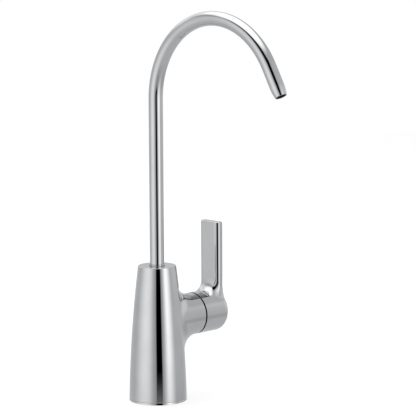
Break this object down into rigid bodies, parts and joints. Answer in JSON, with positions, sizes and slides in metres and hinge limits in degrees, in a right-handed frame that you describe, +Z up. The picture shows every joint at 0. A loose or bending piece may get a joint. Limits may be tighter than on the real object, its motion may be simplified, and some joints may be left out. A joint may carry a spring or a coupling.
{
  "type": "drinking water filter tap",
  "caption": "Deck-mounted filter water tap: bowed conical body, swivelling gooseneck spout and a side valve with an upright lever.",
  "frame": {"origin": "centre of the foot, on the deck surface that the tap stands on", "axes": "+Z up along the spout's swivel axis, -Y the way the spout points at rest, +X the valve axis, out of the branch to the lever"},
  "size_m": [0.0746, 0.137, 0.3232],
  "materials": {
    "chrome": "polished chrome plate on brass",
    "brass": "machined",
    "rubber": "matt moulded",
    "steel": "stamped or turned",
    "ceramic": "lapped",
    "acetal": "moulded",
    "black_plastic": "moulded"
  },
  "bodies": {
    "tap_body": {"body": "chrome", "foot_ring": "chrome", "base_gasket": "rubber", "shank": "brass", "shank_seal": "rubber", "deck_washer": "rubber", "clamp_washer": "steel", "mounting_nut": "brass", "seat_seal": "rubber", "fixed_disc": "ceramic", "cartridge_housing": "brass", "housing_ring": "rubber", "cartridge_nut": "brass", "thrust_washer": "acetal", "glide_ring": "black_plastic", "spout_bush": "acetal", "spout_keep_screw": "steel"},
    "lever_group": {"lever": "chrome", "lever_screw": "steel", "lever_plug": "chrome", "spindle": "brass", "spindle_rings": "rubber", "moving_disc": "ceramic"},
    "spout": {"spout_tube": "chrome", "spout_end": "brass", "spout_rings": "rubber", "flow_straightener": "black_plastic"}
  },
  "joints": [
    {"name": "spout_swivel", "type": "hinge", "parent": "tap_body", "child": "spout", "pos_m": [0, 0, 0.0771], "axis": [0, 0, 1], "continuous": true},
    {"name": "lever_turn", "type": "hinge", "parent": "tap_body", "child": "lever_group", "pos_m": [0.022, 0, 0.054], "axis": [1, 0, 0], "range_deg": [0, 90]}
  ]
}
